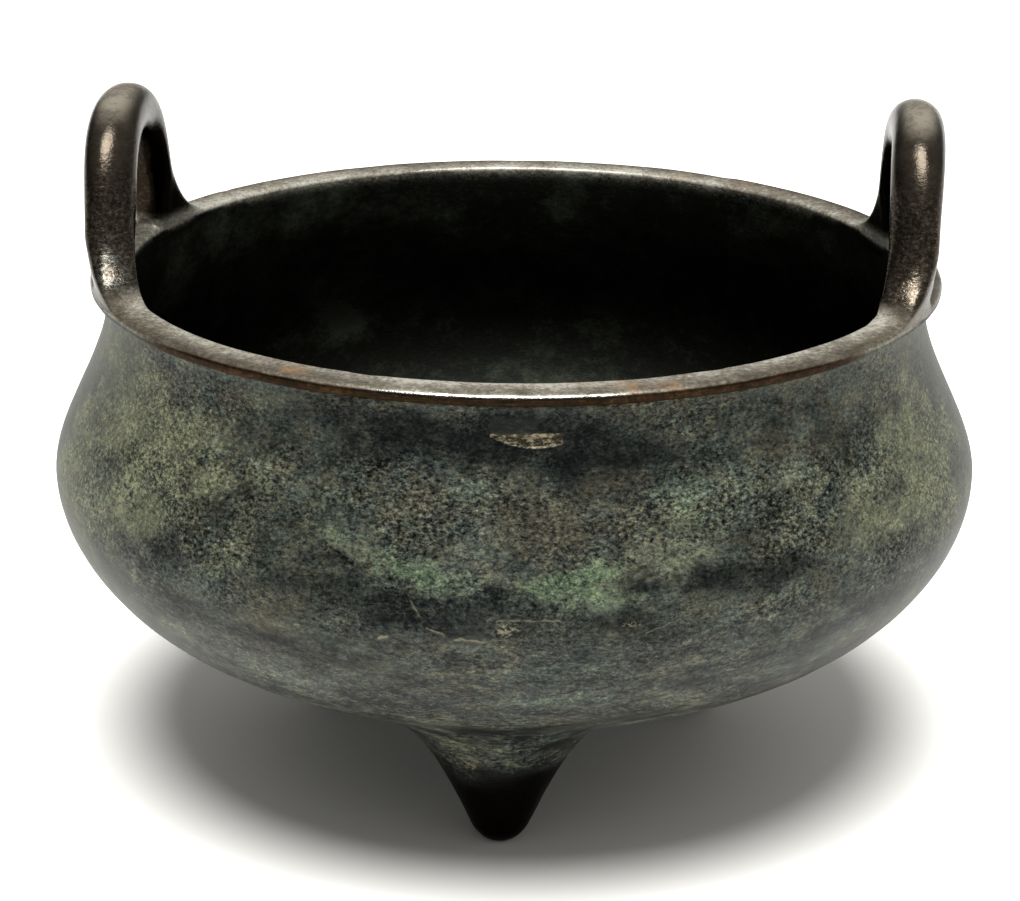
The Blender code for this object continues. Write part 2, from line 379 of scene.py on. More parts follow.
def fuseHandles(item):
    # the handles' faces come in with a second material slot, so the seam can be found
    item.data.materials.append(bpy.data.materials.new("casting"))
    rootMark = bpy.data.materials.new("root")
    for name in ("left", "right"):
        handle = makeHandle(name)
        handle.data.materials.append(rootMark)
        union = item.modifiers.new("fuse " + name, "BOOLEAN")
        union.operation = "UNION"
        union.solver = "EXACT"
        union.material_mode = "TRANSFER"
        union.object = handle
        applyModifier(item, union)
        bpy.data.objects.remove(handle, do_unlink=True)
    kinds = {}
    for face in item.data.polygons:
        for index in face.vertices:
            kinds.setdefault(index, set()).add(face.material_index)
    return [index for index, found in kinds.items() if len(found) > 1]


def softenSeam(item, seam):
    # the corner where a handle meets the lip is rounded, most at the seam itself
    reach, full = handles["seamReach"], handles["seamFull"]
    cells = {}
    for index in seam:
        place = item.data.vertices[index].co
        cells.setdefault(tuple(int(value // reach) for value in place), []).append(place.copy())
    beside = [(x, y, z) for x in (-1, 0, 1) for y in (-1, 0, 1) for z in (-1, 0, 1)]
    group = item.vertex_groups.new(name="seam")
    for vertex in item.data.vertices:
        if vertex.co.z < bowl["neckTop"] - reach:
            continue
        home = [int(value // reach) for value in vertex.co]
        nearest = reach
        for step in beside:
            for place in cells.get(tuple(a + b for a, b in zip(home, step)), ()):
                nearest = min(nearest, (vertex.co - place).length)
        if nearest < reach:
            group.add([vertex.index], 1 - float(smoothStep(full, 1.0, nearest / reach)), "REPLACE")
    soften = item.modifiers.new("soften", "SMOOTH")
    soften.factor = handles["seamFactor"]
    soften.iterations = handles["seamPasses"]
    soften.vertex_group = group.name
    applyModifier(item, soften)
    item.vertex_groups.clear()


# Small relief of the worn casting. Azimuths are degrees from the front, positive to the right,
# heights and lengths are millimetres.
relief = {
    "waviness": 0.22, "waveLength": 26.0,        # how far the hand-finished walls wander inwards
    "rimWaviness": 0.16, "rimWaveLength": 9.0, "rimShift": (0, 70, 0), "rimMargin": 0.0003,
    "hammer": 0.05, "hammerLength": 5.0, "hammerShift": (40, 0, 0),
    "padClear": 2.0,                             # untouched at the table, full from this height
    # dents: azimuth, radius, height, reach, depth, pushed along the surface's own normal
    "dents": [(-5.3, 72.9, 90.5, 0.9, 0.28), (0.7, 72.9, 90.5, 0.7, 0.2),
              (2.9, 72.9, 90.4, 0.8, 0.26), (37.6, 72.9, 90.2, 0.9, 0.2),
              (-31.0, 72.9, 90.5, 1.2, 0.24), (12.6, 72.9, 90.5, 1.0, 0.18),
              (64.2, 67.3, 92.1, 1.5, 0.45), (-17.0, 66.6, 90.8, 1.4, 0.2),
              (30.0, 66.6, 90.8, 1.0, 0.18), (150.0, 72.9, 90.4, 1.4, 0.3),
              (-128.0, 72.9, 90.4, 1.1, 0.24), (-160.0, 66.6, 90.8, 1.3, 0.22)],
    # a shallow filed place on the neck: azimuths of its ends, top, lowest point, depth
    "scar": {"from": -0.1, "to": 9.0, "top": 84.0, "bottom": 81.7, "depth": 0.22,
             # its lower edge is a bow, lowest here between -1 and 1, and this much higher at -1
             "lowest": 0.25, "bow": 0.467,
             "lowerSlope": 0.35, "topSlope": 0.2, "endSlope": 0.06},
    "neckClear": 0.069,                          # beyond this radius a point is on the outside
    # where the mesh is made finer: round the filed place in millimetres and degrees, elsewhere
    # heights and radii in metres, with turns in degrees to each side
    "fineScar": {"below": 1.5, "above": 2.5, "turn": 2},
    "fineLip": {"height": 0.0896, "radius": 0.0715, "turn": 42},
    "fineRoots": {"drop": 0.0005, "turn": 38},
    "fineBelly": {"low": 0.05, "high": 0.077, "radius": 0.071, "turn": 52},
}


def azimuthOf(x, y):
    return math.degrees(math.atan2(x, -y))


def atAzimuth(azimuth, radius, height):
    turn = math.radians(azimuth)
    return Vector((math.sin(turn) * radius, -math.cos(turn) * radius, height)) / 1000


def refineForRelief(item):
    scar, around = relief["scar"], relief["fineScar"]
    lip, roots, belly = relief["fineLip"], relief["fineRoots"], relief["fineBelly"]
    low, high = (scar["bottom"] - around["below"]) / 1000, (scar["top"] + around["above"]) / 1000

    def overScar(centre, normal):
        azimuth = azimuthOf(centre.x, centre.y)
        beside = scar["from"] - around["turn"] < azimuth < scar["to"] + around["turn"]
        return beside and low < centre.z < high and centre.xy.length > relief["neckClear"]

    def onFrontLip(centre, normal):
        azimuth = abs(azimuthOf(centre.x, centre.y))
        return azimuth < lip["turn"] and centre.z > lip["height"] and centre.xy.length > lip["radius"]

    def nearRoots(centre, normal):
        if centre.z < bowl["neckTop"] - roots["drop"]:
            return False
        return abs(math.atan2(centre.y, abs(centre.x))) < math.radians(roots["turn"])

    def onFrontBelly(centre, normal):
        azimuth = abs(azimuthOf(centre.x, centre.y))
        outside = normal.xy.dot(centre.xy) > 0 and centre.xy.length > belly["radius"]
        return outside and azimuth < belly["turn"] and belly["low"] < centre.z < belly["high"]

    for wanted in (onFrontBelly, nearRoots, onFrontLip, overScar, overScar):
        refineFaces(item, wanted)


def scarShare(places):
    # 1 on the filed place, 0 round it; its top is straight and its lower edge bowed
    scar = relief["scar"]
    azimuth = np.degrees(np.arctan2(places[:, 0], -places[:, 1]))
    height = places[:, 2] * 1000
    middle, half = (scar["from"] + scar["to"]) / 2, (scar["to"] - scar["from"]) / 2
    across = (azimuth - middle) / half
    reach = 1 - scar["bow"] * (across - scar["lowest"]) ** 2
    lower = scar["top"] - (scar["top"] - scar["bottom"]) * reach
    share = smoothStep(0.0, scar["lowerSlope"], height - lower)
    share = share * smoothStep(0.0, scar["topSlope"], scar["top"] - height)
    share = share * smoothStep(0.0, scar["endSlope"], 1 - np.abs(across))
    return share * (np.hypot(places[:, 0], places[:, 1]) > relief["neckClear"])


def wear(item):
    # every vertex moves inwards only, so the casting stays inside its own outline
    mesh = item.data
    places = np.array([vertex.co for vertex in mesh.vertices])
    normals = np.array([vertex.normal for vertex in mesh.vertices])
    inward = np.zeros(len(places))
    for index, place in enumerate(places):
        spot = Vector(place) * 1000
        big = noise.noise(spot / relief["waveLength"])
        small = noise.noise(spot / relief["hammerLength"] + Vector(relief["hammerShift"]))
        inward[index] = relief["waviness"] * (0.5 + 0.5 * big) + relief["hammer"] * (0.5 + small)
        if place[2] > bowl["lipUnder"] - relief["rimMargin"]:
            wave = noise.noise(spot / relief["rimWaveLength"] + Vector(relief["rimShift"]))
            inward[index] = relief["rimWaviness"] * (0.5 + 0.5 * wave)
    # the pads of the feet stay true on the table
    inward *= smoothStep(0.0, relief["padClear"], places[:, 2] * 1000)
    for azimuth, radius, height, reach, depth in relief["dents"]:
        centre = np.array(atAzimuth(azimuth, radius, height)) * 1000
        away = np.linalg.norm(places * 1000 - centre, axis=1) / reach
        inward += depth * np.exp(-away * away)
    inward += relief["scar"]["depth"] * scarShare(places)
    moved = places - normals * (inward / 1000)[:, None]
    mesh.vertices.foreach_set("co", moved.ravel())
    mesh.update()


censer = makeBowl()
print("bowl turned:", len(censer.data.polygons), "faces")
pullFeet(censer)
print("feet drawn down:", len(censer.data.polygons), "faces")
refineForRelief(censer)
seam = fuseHandles(censer)
print("handles fused, seam of", len(seam), "points")
softenSeam(censer, seam)
wear(censer)
pickOnly(censer)
bpy.ops.object.shade_smooth_by_angle(angle=bowl["smoothAngle"])
print("surface worn:", len(censer.data.vertices), "points")


# Where the patina changes, with painted shade and a painted sheen among some patches. Each patch is
# azimuth, height, half width, half height, strength, in degrees and millimetres; the finish breaks its
# edge up.
patches = {
    "green": [
        (-9.6, 64.6, 6.2, 2.6, 1), (-4, 62.6, 7, 2.6, 0.55), (10.2, 62, 4.8, 3.4, 0.95),
        (13.4, 64.8, 4, 2, 0.9), (6, 61, 6, 2.2, 0.35), (-12.5, 60.6, 3, 1.5, 0.5),
        (18, 60.4, 7, 1.6, 0.55), (25, 70.6, 6.5, 3, 0.5), (-15, 68.5, 9, 4, 0.28),
        (-27, 72, 6, 4, 0.25), (-2, 73.6, 6, 2.5, 0.35), (-30, 61, 9, 2, 0.3), (24, 54, 9, 3, 0.22),
        (-13, 42, 12, 3, 0.22), (10, 41, 14, 3, 0.22)],
    "teal": [
        (-1.8, 75.6, 3, 1.7, 0.75), (23.5, 73.6, 6, 2.4, 0.75), (3.6, 77.6, 1.4, 1, 0.5),
        (27.5, 69.4, 3.5, 2.5, 0.4), (-26, 76.5, 6, 3, 0.3), (-11.5, 61.4, 2, 1.2, 0.55),
        (12, 59.4, 3, 1.4, 0.45), (-20, 73, 7, 3, 0.3), (33, 84, 7, 2, 0.25)],
    # pale: the broad patches towards the left and right edges, from about 47 to 66 degrees, partly paint
    # the sheen of the bright table at the grazing edges; the rest is pale patina
    "pale": [
        (-47, 72, 15, 8, 0.75), (-45, 63.2, 5, 4, 1), (-36, 71.6, 3.2, 3, 1),
        (-46.5, 77.5, 7, 3, 0.55), (-30, 66, 6, 3, 0.3), (21, 66.8, 10, 3.6, 0.55),
        (7.4, 73.2, 2.4, 3.6, 0.35), (12.8, 73.2, 3, 1.2, 0.55), (-29, 85.2, 7, 0.9, 0.55),
        (-35, 86, 4, 0.8, 0.45), (48, 68, 14, 7, 0.45), (-21, 68, 8, 4, 0.35),
        (17, 81.2, 3, 1, 0.35), (-62, 84, 14, 7, 0.8), (38, 72, 8, 4, 0.35), (-64, 66, 16, 16, 0.85),
        (66, 66, 16, 18, 0.9), (49, 65, 7, 5, 0.5), (-52, 80, 9, 8, 0.4), (30, 40, 12, 8, 0.25),
        (-55, 57, 14, 8, 0.35), (-30, 42, 16, 8, 0.3), (-24, 60.5, 7, 1.4, 0.35),
        (-14, 66, 9, 1.6, 0.35), (2, 68, 7, 2, 0.3)],
    "brown": [
        (6.5, 71, 11, 5, 0.7), (30.6, 66.9, 2, 0.9, 0.95), (-40.5, 72.5, 3, 4, 0.5),
        (21, 35, 13, 2.2, 0.75), (14.5, 77, 8, 4, 0.55), (-24, 50, 12, 6, 0.3),
        (35, 60.5, 8, 2, 0.45), (-37, 64, 1.6, 2.2, 0.55), (-12, 74.5, 9, 2.5, 0.3),
        (42, 77, 9, 4, 0.3), (-19, 43, 14, 5, 0.25)],
    # dark: the strong bands just under the lip near 81 to 82 mm and along the widest ring near 56 to 58 mm
    # are partly painted shade; the rest is darker patina
    "dark": [
        (-5, 82.4, 18, 4.2, 0.95), (13, 81.4, 14, 4, 0.85), (-9.5, 58.6, 10, 2.4, 0.95),
        (-1, 58.4, 8, 2.6, 0.95), (7, 58.4, 5, 1.6, 0.55), (27, 61.4, 13, 2.6, 0.85),
        (38.6, 82, 2.6, 1.1, 0.75), (-21, 60.8, 10, 2.6, 0.55), (-25.5, 65.6, 4, 1.6, 0.4),
        (-18, 64.6, 5, 1.4, 0.45), (36, 61, 9, 2, 0.45), (0.5, 61, 4, 2, 0.4),
        (-30, 78.5, 8, 2.6, 0.45), (44, 79, 4, 2.4, 0.35), (4, 64.8, 5, 2.4, 0.45),
        (16, 57.8, 10, 1.4, 0.45), (-11.5, 62.3, 4.6, 0.6, 0.8), (46, 63.4, 5, 2.2, 0.4),
        (25, 79, 9, 3, 0.4), (-28, 69, 2.6, 3, 0.35), (-14, 57.6, 16, 2.4, 0.5),
        (6, 56.2, 14, 1.8, 0.5), (-7, 56.2, 8, 1.6, 0.5)],
    "blue": [
        (-18, 81, 16, 4.6, 0.4), (-44, 57, 16, 3.6, 0.6), (-9, 55.6, 13, 3, 0.6),
        (14, 52.5, 13, 3, 0.5), (26, 50, 12, 5, 0.4), (5, 85, 26, 2, 0.55), (52, 52, 16, 6, 0.5),
        (-58, 66, 8, 6, 0.35), (40, 74, 4, 2, 0.45), (-34, 50, 14, 5, 0.2)],
    "chalk": [
        (2.6, 56.1, 2.6, 1, 0.85), (15.4, 56, 1.7, 0.7, 0.8), (0.4, 57.4, 2.6, 0.5, 0.45),
        (-38.5, 63.2, 1.4, 2, 0.45), (11.6, 73.3, 1.6, 0.5, 0.6)],
    # dust and verdigris on the dark lining
    "dust": [
        (-177, 44, 26, 5, 0.12), (-149, 61.5, 9, 6, 0.9), (-135, 70, 12, 8, 0.4),
        (-147, 67, 6, 3.5, 0.55), (-128, 83, 16, 5, 0.45), (-146, 86, 12, 3, 0.35),
        (-168, 78, 7, 4, 0.45), (-110, 78, 10, 7, 0.5), (-100, 66, 8, 5, 0.3), (-157, 80, 6, 4, 0.3),
        (120, 82, 10, 4, 0.2), (20, 60, 20, 8, 0.3), (176, 82.5, 5, 4, 0.5), (137, 85, 10, 3, 0.35),
        (169, 58, 6, 4, 0.35), (180, 76, 20, 2, 0.25)],
    # spots on the handles, the rim and the front foot: x, y, z, reach, strength
    "spots": {
        # pale: the last three spots, on the handles' crowns, are partly painted light from above
        "pale": [
            (-3, -50, 27, 8, 0.8), (-65.9, -26, 97.4, 4.2, 0.8), (-63.4, -28.8, 93.6, 4.6, 0.75),
            (-61, -31.4, 91.6, 5, 0.45), (-69.6, -26.8, 93, 4, 0.45), (62.7, -21.1, 99.5, 2, 0.5),
            (65.2, -26.3, 96.3, 2.2, 0.3), (67, -14.3, 117.5, 5, 0.3), (-68, -6, 120, 7, 0.5),
            (64, 8, 119, 6, 0.3)],
        "dark": [
            (-65, -19.4, 109, 3.4, 0.6), (-66, -21.5, 103, 3.4, 0.55), (66.5, -20.5, 103, 3.2, 0.5),
            (66, -19, 111, 3, 0.5), (-69.5, -20, 106, 3, 0.5)],
        "chalk": [
            (-4.5, -50, 18.7, 1.6, 0.95)],
        "blue": [
            (-66, -17, 113, 3.6, 0.5), (-72, -27, 90.5, 3.5, 0.6), (71.5, -28, 90, 4, 0.6)],
        "rust": [
            (-30.3, -62.9, 91, 3, 0.95), (13.7, -66.8, 91, 2, 0.6), (20.5, -66.3, 91, 3, 0.75),
            (27.1, -65.8, 91, 2, 0.6), (-61.1, -31, 91.8, 1.6, 0.3), (-45, -50, 91, 2, 0.3),
            (39.1, 55.8, 91, 4, 0.5), (28.9, 62.6, 91, 3.5, 0.45)],
    },
}
# plainer patches of the same kinds on the far side: how many of each, and the limits of their
# five values, drawn in this order
hidden = {
    "seed": 41, "count": 26, "between": [(78, 282), (38, 84), (4, 15), (2, 5), (0.3, 1.0)],
    "shades": {"green": 0.45, "teal": 0.35, "pale": 0.45, "brown": 0.5, "dark": 0.6, "blue": 0.45},
}
# how far noises push the edges, as shares of a patch or a spot, and the noises' lengths
wandering = {"length": 7.0, "fineLength": 2.2, "fineShare": 0.5, "patch": 0.9, "spot": 0.4, "tip": 5.0}
# the lining: points turned to the axis, the floor, and how it fades in under the rim
inside = {
    "facing": -1.0, "floorUp": 0.2, "floorTop": 60, "behindShell": 1.5,
    "fadeFrom": 0.2, "fadeTo": 1.6, "radius": 68.2,
    "rimBand": 1.9,        # no patch comes nearer than this to the rim's top
}
# masks that follow the casting's measures: each fades in from the first value to the second
fades = {
    # a bright polished band on the lip's outer arris, kept to the front: rubbed metal with a painted
    # highlight
    "shine": [("height", 89.95, 90.15), ("height", 90.75, 90.5), ("radius", 72.0, 72.3),
              ("fromPolishHighlight", 19, 12)],
    "side": [("height", 88.8, 89.1), ("radius", 70.9, 72.0), ("height", 91.0, 89.9)],
    "arris": [("radius", 70.2, 72.4), ("height", 90.2, 90.6), ("turn", 18, 32), ("fromFront", 80, 60)],
    "edge": [("radius", 72.0, 67.0), ("overRim", -1.4, -0.6)],
    # painted shade on the handles: faces that look into the loop or downwards are darkened
    "hollow": [("shaded", 0.1, 0.7), ("overRim", 0.5, 3.0)],
    # the upward faces of the handles' crowns are made lighter: partly dust, partly painted light from
    # above
    "crown": [("up", 0.55, 1.0), ("height", 115.5, 119.5)],
    "worn": [("overRim", -1.6, -0.7)],
    "loop": [("overRim", 0.2, 2.5)],
    "speckle": [("height", 113, 106), ("height", 91.5, 94)],
    "crackle": [("height", 53, 58), ("height", 80, 72)],
    "tip": [("stirredHeight", 25.0, 8.0)],
}
# the brown line along the lip's lower arris, and the turns that it fades in between
lipLine = {"height": 88.85, "halfHeight": 0.28, "radius": 70.6, "front": (58, 36)}
# where the highlight painted on the rubbed front arris is centred, how brown the side stays behind, how
# wide the painted shade in the loops' hollows is
masking = {"polishHighlightMiddle": 1, "sideBehind": 0.35, "shadeWidth": 23, "wornInside": 0.8}


def addHiddenPatches():
    draw = random.Random(hidden["seed"])
    for name, strongest in hidden["shades"].items():
        for number in range(hidden["count"]):
            *patch, strength = (draw.uniform(*limits) for limits in hidden["between"])
            patches[name].append((*patch, strength * strongest))


def radiusAt(height, outline):
    # radius of an outline at a height, both in millimetres
    heights = [point[1] * 1000 for point in outline][::-1]
    radii = [point[0] * 1000 for point in outline][::-1]
    return float(np.interp(height, heights, radii))


def patchShare(around, outwards, heights, patch, outline):
    azimuth, height, halfWidth, halfHeight, strength = patch
    radius = radiusAt(height, outline)
    turn = (around[0] - azimuth + 180) % 360 - 180
    across = (np.radians(turn) * radius + around[1] * halfWidth * wandering["patch"]) / halfWidth
    up = np.hypot(outwards - radius, heights - height)
    up = np.where(heights > height, up, -up) + around[2] * halfHeight * wandering["patch"]
    return strength * np.exp(-across ** 2 - (up / halfHeight) ** 2)


def patchesShare(around, outwards, heights, found, outline):
    # all patches of one kind, laid over one another
    clear = np.ones(len(heights))
    for patch in found:
        clear *= 1 - np.clip(patchShare(around, outwards, heights, patch, outline), 0, 1)
    return 1 - clear


def liningShare(places, normals, outwards, shell):
    heights, rim = places[:, 2], bowl["rimHeight"] * 1000
    shellRadii = np.array([radiusAt(height, shell) for height in heights])
    towards = normals[:, 0] * places[:, 0] + normals[:, 1] * places[:, 1]
    onLining = (towards < inside["facing"]) & (heights < rim)
    onLining |= (normals[:, 2] > inside["floorUp"]) & (heights < inside["floorTop"])
    onLining &= outwards < shellRadii - inside["behindShell"]
    share = smoothStep(inside["fadeFrom"], inside["fadeTo"], rim - heights)
    share = share * (outwards < inside["radius"])
    return np.where(heights < rim - inside["fadeTo"], onLining * 1.0, share)


def paintMasks(item):
    # each mask is one float on every vertex, which the finish reads by its name
    mesh = item.data
    places = np.array([vertex.co for vertex in mesh.vertices]) * 1000
    normals = np.array([vertex.normal for vertex in mesh.vertices])
    outwards = np.hypot(places[:, 0], places[:, 1])
    heights = places[:, 2]
    azimuths = np.degrees(np.arctan2(places[:, 0], -places[:, 1]))
    rim = bowl["rimHeight"] * 1000
    wander = np.array([noise.noise_vector(Vector(place) / wandering["length"]) for place in places])
    fine = np.array([noise.noise_vector(Vector(place) / wandering["fineLength"]) for place in places])
    shift = wander + wandering["fineShare"] * fine
    around = (azimuths, shift[:, 0], shift[:, 1])
    shell = shellOutline(bowl["shoulderPoints"], bowl["undersidePoints"])
    inner = liningShare(places, normals, outwards, shell)

    masks = {"inner": inner, "rust": np.zeros(len(places))}
    for name in ("green", "teal", "pale", "brown", "dark", "blue", "chalk"):
        share = patchesShare(around, outwards, heights, patches[name], shell)
        masks[name] = share * (1 - inner) * (heights < rim - inside["rimBand"])
    lining = insetOutline(shell, bowl["wall"])
    masks["dust"] = patchesShare(around, outwards, heights, patches["dust"], lining) * inner
    for name, spots in patches["spots"].items():
        for x, y, z, reach, strength in spots:
            centre = np.array((x, y, z))
            away = np.linalg.norm(places + shift * reach * wandering["spot"] - centre, axis=1) / reach
            masks[name] = 1 - (1 - masks[name]) * (1 - strength * np.exp(-away * away))

    turn = np.abs(azimuths)
    fromFront = np.minimum(turn, 180 - turn)
    facing = -normals[:, 1] * np.sign(places[:, 1])
    measures = {
        "height": heights, "radius": outwards, "overRim": heights - rim, "up": normals[:, 2],
        "turn": turn, "fromFront": fromFront, "fromPolishHighlight": np.abs(azimuths - masking["polishHighlightMiddle"]),
        "shaded": np.maximum(facing, -normals[:, 2]),
        "stirredHeight": heights + wander[:, 2] * wandering["tip"],
    }
    for name, steps in fades.items():
        shares = [smoothStep(low, high, measures[what]) for what, low, high in steps]
        masks[name] = np.prod(shares, axis=0)
    front = smoothStep(*lipLine["front"], fromFront)
    masks["side"] *= masking["sideBehind"] + (1 - masking["sideBehind"]) * front
    masks["hollow"] *= np.abs(places[:, 1]) < masking["shadeWidth"]
    masks["worn"] *= 1 - inner * masking["wornInside"]
    masks["crackle"] *= 1 - inner
    line = np.exp(-((heights - lipLine["height"]) / lipLine["halfHeight"]) ** 2)
    masks["seamLine"] = line * (outwards > lipLine["radius"]) * front
    for name, values in masks.items():
        layer = mesh.attributes.new(name, "FLOAT", "POINT")
        layer.data.foreach_set("value", values.astype(np.float32))
    return list(masks)


addHiddenPatches()
print("masks painted:", ", ".join(paintMasks(censer)))


# Finish: a wire is one socket, so that shader maths reads as Python
class Wire:
    def __init__(self, finish, socket):
        self.finish, self.socket = finish, socket

    def __add__(self, other):
        return self.finish.maths("ADD", self, other)

    def __radd__(self, other):
        return self.finish.maths("ADD", other, self)

    def __sub__(self, other):
        return self.finish.maths("SUBTRACT", self, other)

    def __rsub__(self, other):
        return self.finish.maths("SUBTRACT", other, self)

    def __mul__(self, other):
        return self.finish.maths("MULTIPLY", self, other)


class Finish:
    def __init__(self, name):
        self.material = bpy.data.materials.new(name)
        self.material.use_nodes = True
        self.tree = self.material.node_tree
        self.shader = self.tree.nodes["Principled BSDF"]
        self.place = self.node("TexCoord", output="Object")

    def feed(self, socket, value):
        if isinstance(value, Wire):
            self.tree.links.new(value.socket, socket)
        else:
            socket.default_value = value

    def node(self, kind, settings=None, inputs=None, output=0):
        made = self.tree.nodes.new("ShaderNode" + kind)
        for name, value in (settings or {}).items():
            if name == "stops":
                self.setStops(made.color_ramp.elements, value)
            else:
                setattr(made, name, value)
        for name, value in (inputs or {}).items():
            self.feed(made.inputs[name], value)
        return Wire(self, made.outputs[output])

    def setStops(self, elements, stops):
        # a new ramp has one stop at each end
        for place, colour in stops[1:-1]:
            elements.new(place)
        for element, (place, colour) in zip(elements, stops):
            element.position = place
            element.color = colour

    def maths(self, operation, first, second=0.0):
        return self.node("Math", {"operation": operation}, {0: first, 1: second})

    def absolute(self, value):
        return self.maths("ABSOLUTE", value)

    def most(self, first, *others):
        for other in others:
            first = self.maths("MAXIMUM", first, other)
        return first

    def vector(self, operation, first, second=(0, 0, 0), output=0):
        return self.node("VectorMath", {"operation": operation}, {0: first, 1: second}, output)

    def scaled(self, vector, scale):
        return self.node("VectorMath", {"operation": "SCALE"}, {0: vector, "Scale": scale})

    def axis(self, name):
        return self.node("SeparateXYZ", None, {0: self.place}, name)

    def mask(self, name):
        return self.node("Attribute", {"attribute_name": name}, output="Fac")

    def ramp(self, value, low, high, lowOut=0.0, highOut=1.0):
        return self.node("MapRange", {"interpolation_type": "SMOOTHSTEP"},
                         {"Value": value, "From Min": low, "From Max": high,
                          "To Min": lowOut, "To Max": highOut})

    def shades(self, value, stops):
        return self.node("ValToRGB", {"stops": stops}, {"Fac": value})

    def grain(self, size, detail, stretch, roughness, shift):
        # noise whose spots are about this many millimetres across
        stretched = self.vector("MULTIPLY", self.place, stretch)
        moved = self.vector("ADD", stretched, (shift, shift, shift))
        return self.node("TexNoise", None, {"Vector": moved, "Scale": 500.0 / size,
                                            "Detail": detail, "Roughness": roughness})

    def blend(self, share, first, second, way="MIX"):
        settings = {"data_type": "RGBA", "blend_type": way}
        return self.node("Mix", settings, {0: share, 6: first, 7: second}, 2)

    def between(self, share, first, second):
        return self.node("Mix", {"data_type": "FLOAT"}, {0: share, 2: first, 3: second})

    def segment(self, start, end, place):
        # distance from a straight stroke between two points
        along = Vector(end) - Vector(start)
        fromStart = self.vector("SUBTRACT", place, tuple(start))
        share = self.vector("DOT_PRODUCT", fromStart, tuple(along / along.length_squared), "Value")
        nearest = self.scaled(tuple(along), self.node("Clamp", None, {"Value": share}))
        return self.vector("LENGTH", self.vector("SUBTRACT", fromStart, nearest), output="Value")


class Sky(Finish):
    def __init__(self, world):
        self.tree = world.node_tree
        self.place = self.node("TexCoord", output="Generated")


